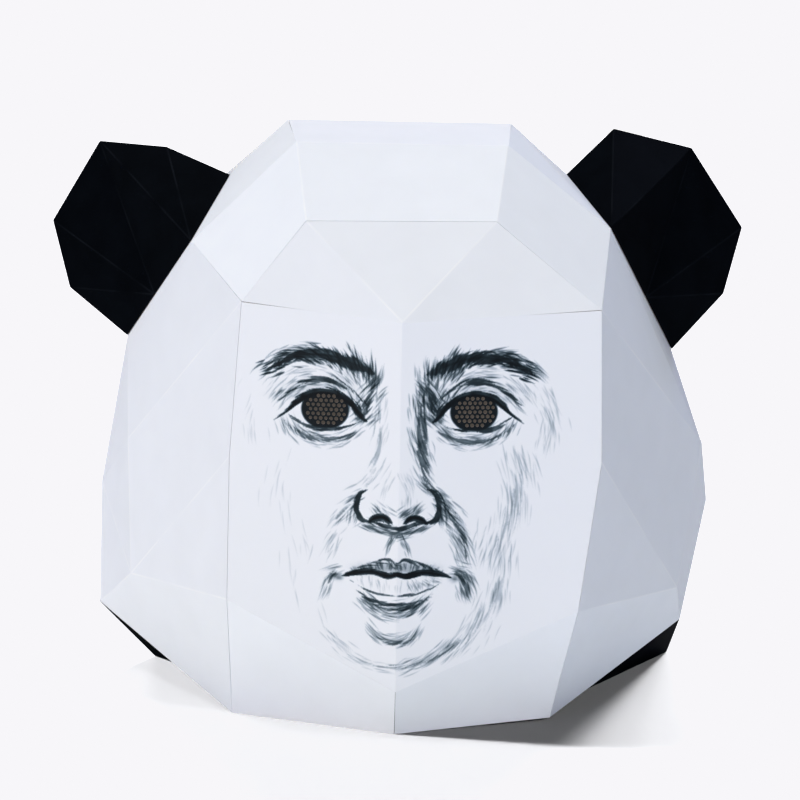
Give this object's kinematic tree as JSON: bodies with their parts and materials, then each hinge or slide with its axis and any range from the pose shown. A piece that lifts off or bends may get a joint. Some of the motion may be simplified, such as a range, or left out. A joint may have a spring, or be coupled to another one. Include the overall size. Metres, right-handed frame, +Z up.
{
  "type": "paper animal mask",
  "caption": "Full-head panda mask folded from stiff card in flat facets, with black ears and neck collar, a drawn human face and finely pierced eyes to look through.",
  "frame": {"origin": "on the floor under the middle of the mask's box", "axes": "+Z up, -Y out of the face, +X to the viewer's right as one looks at the face"},
  "size_m": [0.3964, 0.2842, 0.317],
  "materials": {
    "white_card": "satin",
    "printed_card": "satin",
    "black_card": "satin"
  },
  "bodies": {
    "root": {"brow_panel": "white_card", "cheek_left": "white_card", "cheek_right": "white_card", "chin_left": "white_card", "chin_right": "white_card", "crown_panel": "white_card", "ear_left": "black_card", "ear_right": "black_card", "face_panel": "printed_card", "nape_left": "white_card", "nape_panel": "white_card", "nape_right": "white_card", "neck_collar": "black_card", "temple_left": "white_card", "temple_right": "white_card"}
  },
  "joints": []
}
